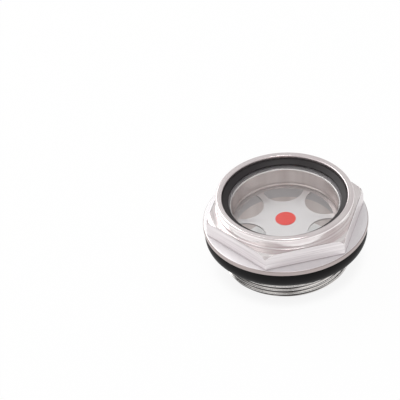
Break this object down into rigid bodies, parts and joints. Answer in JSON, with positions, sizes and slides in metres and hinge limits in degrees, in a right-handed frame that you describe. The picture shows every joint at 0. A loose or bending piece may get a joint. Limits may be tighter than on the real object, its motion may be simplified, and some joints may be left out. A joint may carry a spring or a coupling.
{
  "type": "tank level gauge",
  "caption": "Screw-in oil level sight glass with a hexagon flange, round window, reflector with red spot, and a short threaded spigot with a sealing ring.",
  "frame": {"origin": "centre of the spigot's end face, on the thread's axis, which is what the gauge stands on", "axes": "+Z along the thread's axis from the spigot's end towards the window; Y is square to two of the spanner flats"},
  "size_m": [0.054, 0.054, 0.026],
  "materials": {
    "polished_aluminium": "turned and polished",
    "window_glass": "clear, ground edges",
    "seal_rubber": "moulded, satin",
    "gasket_rubber": "sheet rubber, matt",
    "reflector_sheet": "satin, pressed sheet",
    "red_enamel": "even enamel spot"
  },
  "bodies": {
    "root": {"body": "polished_aluminium", "window_glass": "window_glass", "glass_gasket": "gasket_rubber", "window_seal": "seal_rubber", "reflector": "reflector_sheet", "red_spot": "red_enamel", "flange_seal": "seal_rubber"}
  },
  "joints": []
}
